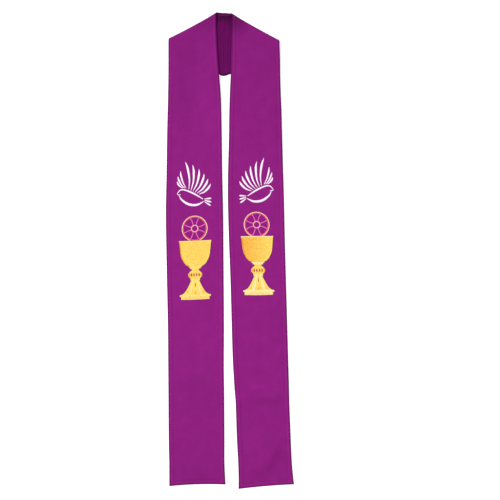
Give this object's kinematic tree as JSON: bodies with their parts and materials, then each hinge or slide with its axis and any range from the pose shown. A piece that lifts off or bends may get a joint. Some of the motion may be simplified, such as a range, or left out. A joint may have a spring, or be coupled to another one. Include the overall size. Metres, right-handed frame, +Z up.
{
  "type": "clergy stole",
  "caption": "Lined vestment stole laid flat, two long bands folded over at the shoulders and joined at the centre back.",
  "frame": {"origin": "on the surface that the stole lies on, under the middle of its outline", "axes": "+X to the right across the bands, +Y from the hems to the neck, +Z up, out of the surface"},
  "size_m": [0.3248, 1.208, 0.0079],
  "materials": {
    "face_cloth": "matte plain-weave polyester, violet purple",
    "lining_cloth": "thin smooth polyester lining, deeper violet",
    "white_thread": "glossy white embroidery thread",
    "gold_thread": "glossy yellow gold embroidery thread",
    "pale_gold_thread": "glossy pale gold embroidery thread",
    "red_thread": "glossy red embroidery thread",
    "rose_thread": "glossy rose pink embroidery thread"
  },
  "bodies": {
    "root": {"face_left": "face_cloth", "lining_left": "lining_cloth", "face_right": "face_cloth", "lining_right": "lining_cloth"}
  },
  "joints": []
}
